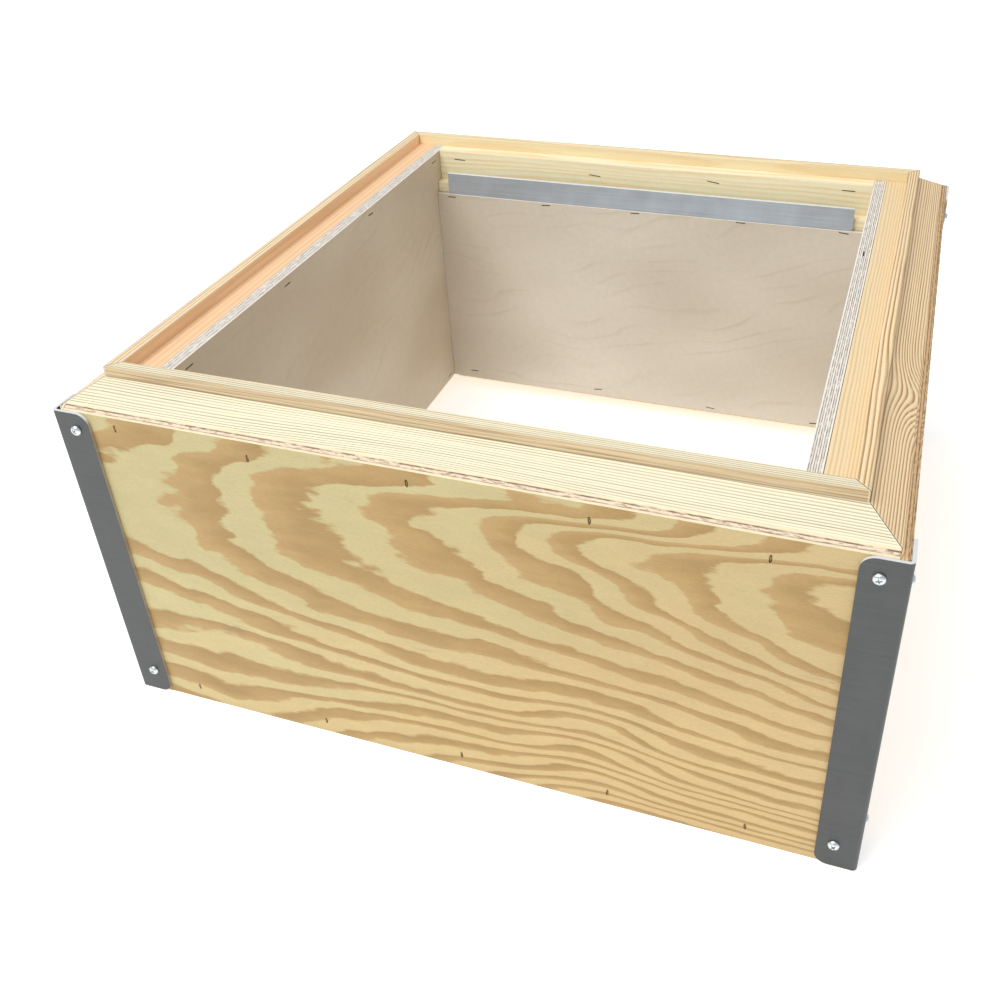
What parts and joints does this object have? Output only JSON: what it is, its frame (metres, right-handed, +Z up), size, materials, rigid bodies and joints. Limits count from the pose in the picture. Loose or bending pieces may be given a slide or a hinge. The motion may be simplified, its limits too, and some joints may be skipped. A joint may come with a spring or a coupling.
{
  "type": "insulated beehive body",
  "caption": "Square double-walled wooden hive body, open above and below, with a bevelled stacking rim, metal frame rests inside and metal corner angles.",
  "frame": {"origin": "centre of the footprint, on the surface that the body stands on", "axes": "+Z up, the front wall faces -Y, the frames hang along Y from rests on the front and back walls"},
  "size_m": [0.5008, 0.5008, 0.254],
  "materials": {
    "outer_plywood": "bare pine plywood, sanded",
    "inner_plywood": "bare birch plywood, sanded",
    "pine": "bare planed pine",
    "insulation": "foam board, matte",
    "corner_metal": "mill finish, dull grey with bright cut edges",
    "rest_metal": "mill finish, light blue-grey",
    "screw_metal": "bright zinc plated"
  },
  "bodies": {
    "root": {"angle_screw_back_left_high": "screw_metal", "angle_screw_back_left_low": "screw_metal", "angle_screw_back_right_high": "screw_metal", "angle_screw_back_right_low": "screw_metal", "angle_screw_front_left_high": "screw_metal", "angle_screw_front_left_low": "screw_metal", "angle_screw_front_right_high": "screw_metal", "angle_screw_front_right_low": "screw_metal", "angle_screw_left_back_high": "screw_metal", "angle_screw_left_back_low": "screw_metal", "angle_screw_left_front_high": "screw_metal", "angle_screw_left_front_low": "screw_metal", "angle_screw_right_back_high": "screw_metal", "angle_screw_right_back_low": "screw_metal", "angle_screw_right_front_high": "screw_metal", "angle_screw_right_front_low": "screw_metal", "bottom_rail_back": "pine", "bottom_rail_front": "pine", "bottom_rail_left": "pine", "bottom_rail_right": "pine", "corner_angle_back_left": "corner_metal", "corner_angle_back_right": "corner_metal", "corner_angle_front_left": "corner_metal", "corner_angle_front_right": "corner_metal", "corner_post_back_left": "pine", "corner_post_back_right": "pine", "corner_post_front_left": "pine", "corner_post_front_right": "pine", "frame_rest_batten_back": "pine", "frame_rest_batten_front": "pine", "frame_rest_strip_back": "rest_metal", "frame_rest_strip_front": "rest_metal", "inner_panel_back": "inner_plywood", "inner_panel_front": "inner_plywood", "inner_panel_left": "inner_plywood", "inner_panel_right": "inner_plywood", "insulation_back": "insulation", "insulation_front": "insulation", "insulation_left": "insulation", "insulation_right": "insulation", "outer_panel_back": "outer_plywood", "outer_panel_front": "outer_plywood", "outer_panel_left": "outer_plywood", "outer_panel_right": "outer_plywood", "top_rail_back": "pine", "top_rail_front": "pine", "top_rail_left": "pine", "top_rail_right": "pine"}
  },
  "joints": []
}
